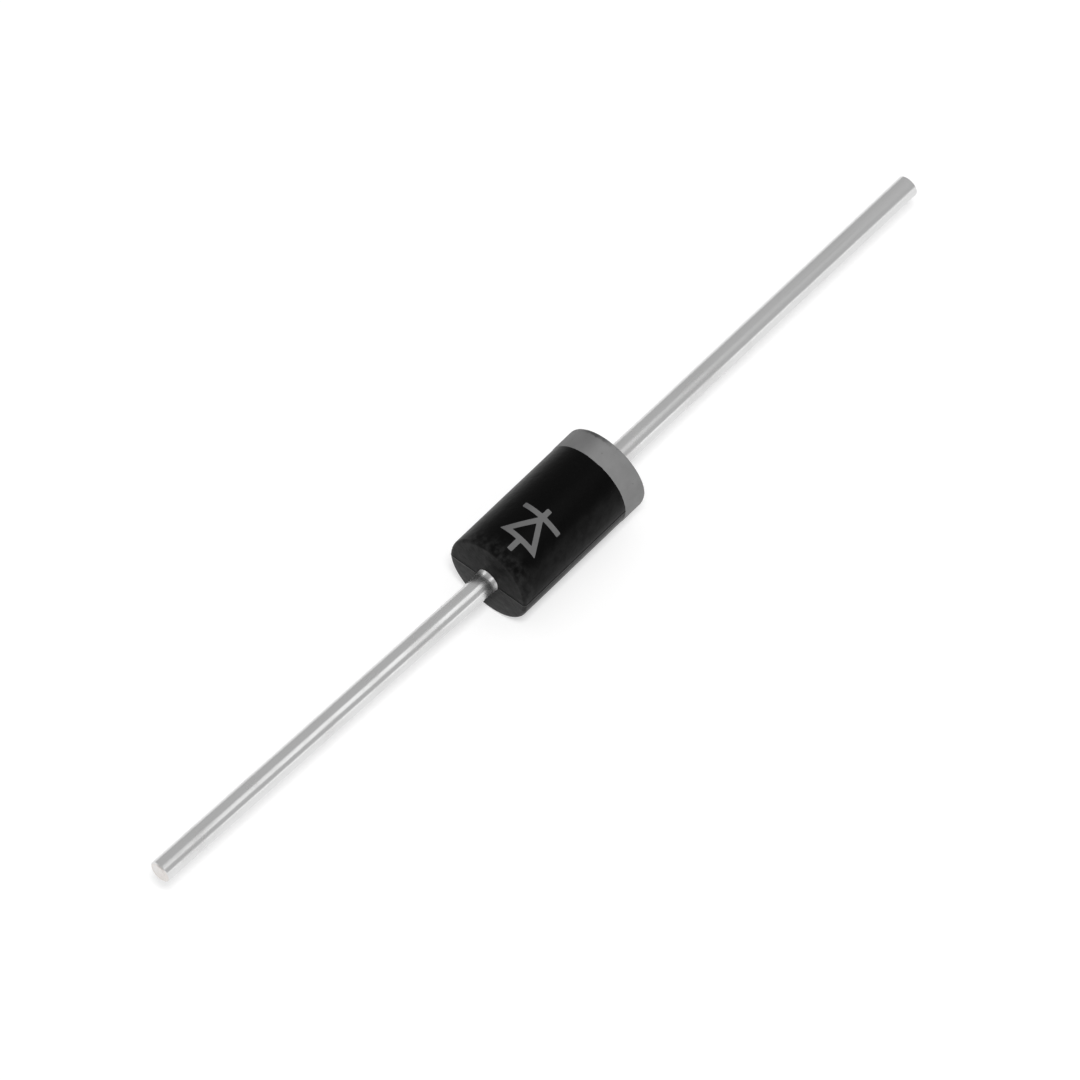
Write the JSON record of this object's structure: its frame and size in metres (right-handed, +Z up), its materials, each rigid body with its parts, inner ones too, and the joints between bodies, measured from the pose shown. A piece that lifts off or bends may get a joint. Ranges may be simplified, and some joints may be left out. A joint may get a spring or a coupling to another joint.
{
  "type": "rectifier diode",
  "caption": "Axial-lead rectifier diode: a black moulded cylinder with a grey cathode band, a printed diode symbol and a straight tinned lead at each end.",
  "frame": {"origin": "middle of the moulded body, on the axis of the leads", "axes": "+X along the leads towards the cathode end, which has the band; +Z up from the surface that the diode lies on; the printed symbol faces up and slightly towards -Y"},
  "size_m": [0.058, 0.0052, 0.0052],
  "materials": {
    "moulding": "satin",
    "tinned_wire": "satin",
    "silicon": "polished",
    "solder": "satin",
    "silicone": "gloss",
    "ink": "satin"
  },
  "bodies": {
    "root": {"moulded_body": "moulding", "anode_lead": "tinned_wire", "cathode_lead": "tinned_wire", "silicon_die": "silicon", "anode_solder": "solder", "cathode_solder": "solder", "junction_coating": "silicone", "cathode_band": "ink", "polarity_mark": "ink"}
  },
  "joints": []
}
